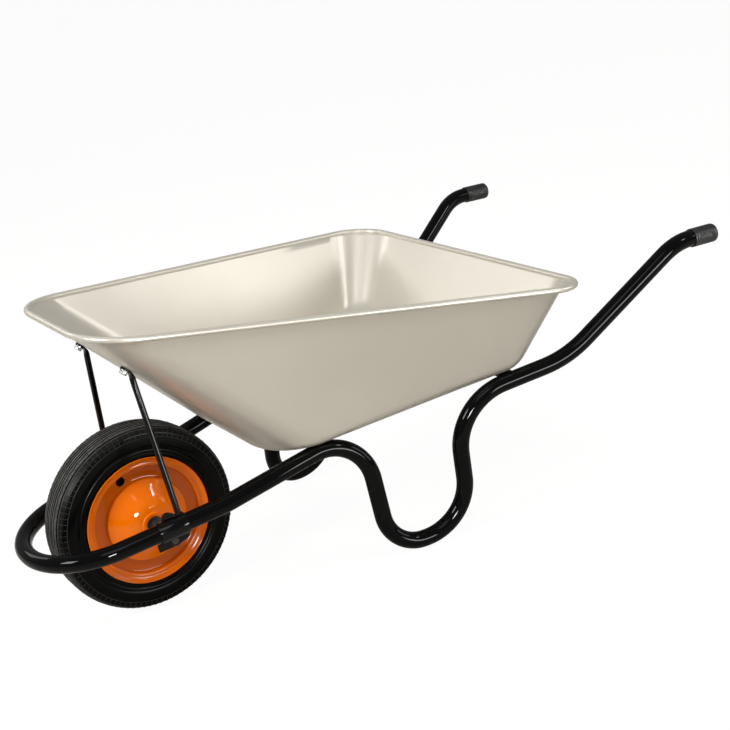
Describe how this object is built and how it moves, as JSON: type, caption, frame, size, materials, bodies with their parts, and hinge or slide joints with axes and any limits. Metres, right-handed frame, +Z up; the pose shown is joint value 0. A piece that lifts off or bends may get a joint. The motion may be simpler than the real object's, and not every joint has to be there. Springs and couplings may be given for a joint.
{
  "type": "wheelbarrow",
  "caption": "Single-wheel barrow: open pressed tray on a bent tube frame that loops round a ribbed tyre, with two stays, leg loops and rear hand grips.",
  "frame": {"origin": "bottom centre of the bounding box, on the ground under the barrow", "axes": "+Z up, +X from the wheel towards the grips, +Y towards the right hand grip; the wheel turns about Y"},
  "size_m": [1.2792, 0.7172, 0.5472],
  "materials": {
    "tray_paint": "satin champagne silver enamel",
    "frame_paint": "gloss black enamel",
    "stay_paint": "gloss black enamel",
    "strap_paint": "satin black enamel",
    "bracket_paint": "gloss black enamel",
    "zinc_bolt": "bright zinc plate",
    "zinc_washer": "bright zinc plate",
    "zinc_nut": "bright zinc plate",
    "axle_steel": "turned steel, dark",
    "clip_steel": "spring steel",
    "spacer_black": "moulded black",
    "tyre_rubber": "ribbed black rubber",
    "rim_paint": "gloss orange enamel",
    "bush_nylon": "black nylon",
    "grip_rubber": "satin black vinyl"
  },
  "bodies": {
    "barrow": {"tray": "tray_paint", "frame_loop": "frame_paint", "frame_side_left": "frame_paint", "frame_side_right": "frame_paint", "stay_left": "stay_paint", "stay_right": "stay_paint", "stay_bolts": "zinc_bolt", "stay_washers": "zinc_washer", "stay_nuts": "zinc_nut", "cross_strap_front": "strap_paint", "cross_strap_rear": "strap_paint", "tray_bolts": "zinc_bolt", "tray_washers": "zinc_washer", "tray_nuts": "zinc_nut", "axle_bracket_left": "bracket_paint", "axle_bracket_right": "bracket_paint", "axle": "axle_steel", "axle_spacers": "spacer_black", "axle_washers": "zinc_washer", "axle_nuts": "zinc_nut", "axle_clips": "clip_steel", "grip_left": "grip_rubber", "grip_right": "grip_rubber"},
    "wheel": {"tyre": "tyre_rubber", "rim_disc_left": "rim_paint", "rim_disc_right": "rim_paint", "rim_band": "rim_paint", "hub_tube": "rim_paint", "hub_bushes": "bush_nylon"}
  },
  "joints": [
    {"name": "wheel_spin", "type": "hinge", "parent": "barrow", "child": "wheel", "pos_m": [-0.41838, 0, 0.165], "axis": [0, 1, 0], "continuous": true}
  ]
}
